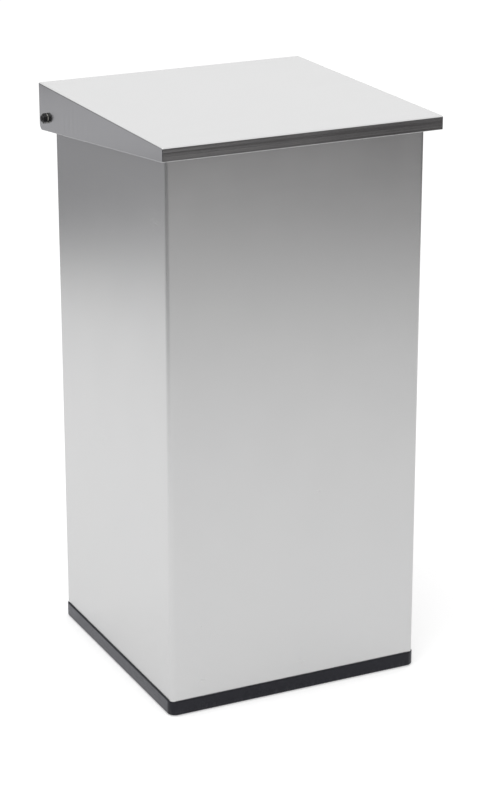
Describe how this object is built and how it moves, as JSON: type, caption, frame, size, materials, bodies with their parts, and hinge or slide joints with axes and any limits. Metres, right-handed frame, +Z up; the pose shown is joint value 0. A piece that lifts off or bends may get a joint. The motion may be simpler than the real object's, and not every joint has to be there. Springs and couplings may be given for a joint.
{
  "type": "soft-close trash can",
  "caption": "Tall square free-standing bin of brushed stainless sheet with an overhanging hinged lid that closes softly on rotary dampers, over a black base.",
  "frame": {"origin": "on the floor, under the middle of the square body", "axes": "+Z up, front of the lid towards -Y, hinge at +Y, pivot axis along X"},
  "size_m": [0.425, 0.425, 0.81],
  "materials": {
    "brushed_stainless_body": "fine brushed sheet, grain level round the body",
    "brushed_stainless_lid": "fine brushed sheet, grain across the lid",
    "satin_stainless": "plain mill finish",
    "turned_steel": "turned and ground",
    "zinc_screw": "bright zinc plating",
    "black_base": "satin moulded, fine grain",
    "black_cap_nut": "semi-gloss black",
    "black_damper": "moulded, satin",
    "black_rubber": "matt",
    "white_nylon": "natural nylon"
  },
  "bodies": {
    "can": {"body_shell": "brushed_stainless_body", "rim_frame": "satin_stainless", "foot_strip_front": "satin_stainless", "foot_strip_right": "satin_stainless", "foot_strip_rear": "satin_stainless", "foot_strip_left": "satin_stainless", "base_tray": "black_base", "base_screws": "zinc_screw", "foot_front_left": "black_rubber", "foot_front_right": "black_rubber", "foot_rear_left": "black_rubber", "foot_rear_right": "black_rubber", "bag_frame": "satin_stainless", "hinge_plate_left": "satin_stainless", "hinge_plate_right": "satin_stainless", "pivot_stud_left": "turned_steel", "pivot_stud_right": "turned_steel", "stop_pin_left": "turned_steel", "stop_pin_right": "turned_steel", "pivot_nut_left": "black_cap_nut", "pivot_nut_right": "black_cap_nut", "damper_housing_left": "black_damper", "damper_housing_right": "black_damper", "damper_cap_left": "black_damper", "damper_cap_right": "black_damper", "hinge_rivets": "satin_stainless"},
    "lid": {"lid": "brushed_stainless_lid", "hinge_sector_left": "satin_stainless", "hinge_sector_right": "satin_stainless", "pivot_bush_left": "white_nylon", "pivot_bush_right": "white_nylon", "buffer_front_left": "black_rubber", "buffer_front_right": "black_rubber", "buffer_side_left": "black_rubber", "buffer_side_right": "black_rubber"},
    "damper_gear_left": {"damper_rotor_left": "turned_steel", "damper_pinion_left": "white_nylon"},
    "damper_gear_right": {"damper_rotor_right": "turned_steel", "damper_pinion_right": "white_nylon"}
  },
  "joints": [
    {"name": "lid_hinge", "type": "hinge", "parent": "can", "child": "lid", "pos_m": [0, 0.185, 0.764], "axis": [-1, 0, 0], "range_deg": [0, 75]},
    {"name": "damper_shaft_left", "type": "hinge", "parent": "can", "child": "damper_gear_left", "pos_m": [-0.19, 0.163, 0.764], "axis": [-1, 0, 0], "range_deg": [-201, 1]},
    {"name": "damper_shaft_right", "type": "hinge", "parent": "can", "child": "damper_gear_right", "pos_m": [0.19, 0.163, 0.764], "axis": [-1, 0, 0], "range_deg": [-201, 1]}
  ],
  "couplings": [
    {"joint": "damper_shaft_left", "follows": "lid_hinge", "ratio": -2.6667},
    {"joint": "damper_shaft_right", "follows": "lid_hinge", "ratio": -2.6667}
  ]
}
